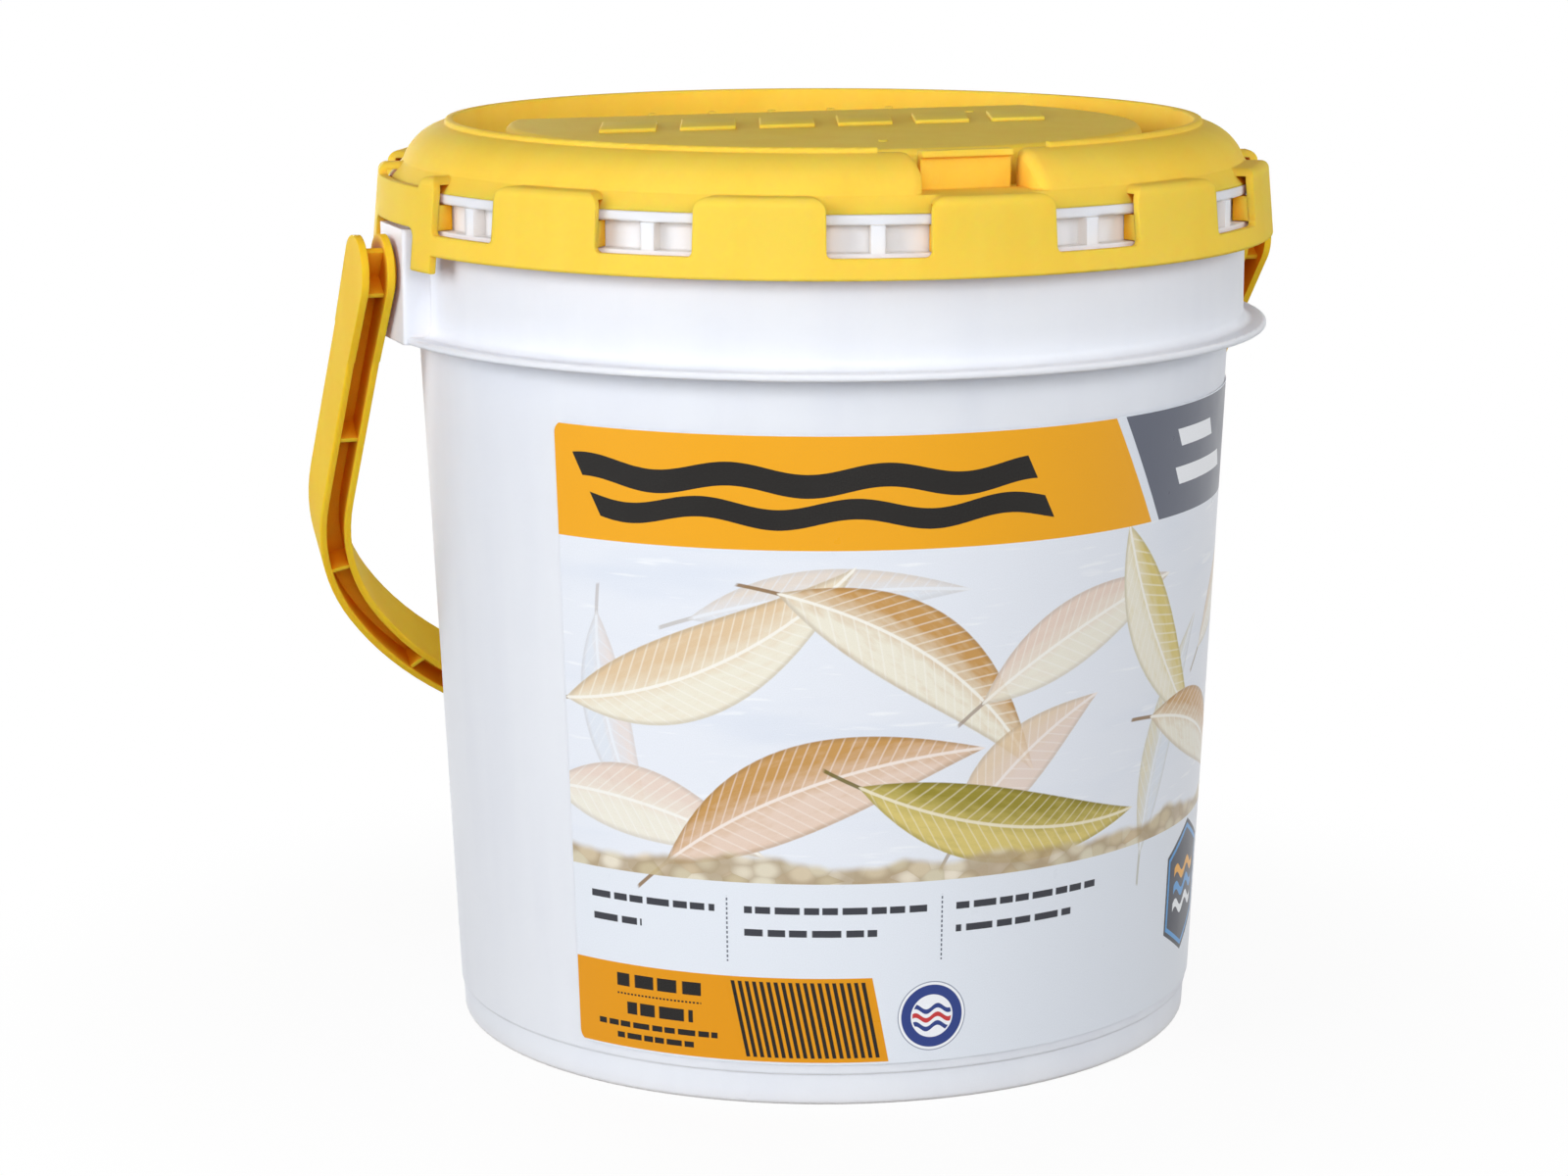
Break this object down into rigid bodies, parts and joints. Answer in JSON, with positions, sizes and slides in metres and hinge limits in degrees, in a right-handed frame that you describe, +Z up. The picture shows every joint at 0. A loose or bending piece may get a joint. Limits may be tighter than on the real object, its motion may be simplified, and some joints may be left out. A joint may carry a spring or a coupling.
{
  "type": "bait bucket",
  "caption": "Tapered plastic bait bucket with a press-on windowed lid, a clip plate and hose hole on the lid, a ribbed swinging bail handle and a printed wrap label.",
  "frame": {"origin": "centre of the foot's rest plane, on the bucket's axis", "axes": "+Z up along the bucket's axis, +X along the bail's pivots, -Y towards the clip plate at the front"},
  "size_m": [0.268, 0.2499, 0.252],
  "materials": {
    "bucket_plastic": "satin moulded white",
    "lid_plastic": "satin moulded yellow",
    "bail_plastic": "satin moulded yellow",
    "label_film": "laminated print on film"
  },
  "bodies": {
    "bucket": {"bucket": "bucket_plastic", "wrap_label": "label_film"},
    "lid": {"lid": "lid_plastic"},
    "bail": {"bail": "bail_plastic"}
  },
  "joints": [
    {"name": "bail_hinge", "type": "hinge", "parent": "bucket", "child": "bail", "pos_m": [0, 0, 0.214], "axis": [1, 0, 0], "range_deg": [0, 286]},
    {"name": "lid_lift", "type": "slide", "parent": "bucket", "child": "lid", "axis": [0, 0, 1], "range_m": [0, 0.06]}
  ]
}
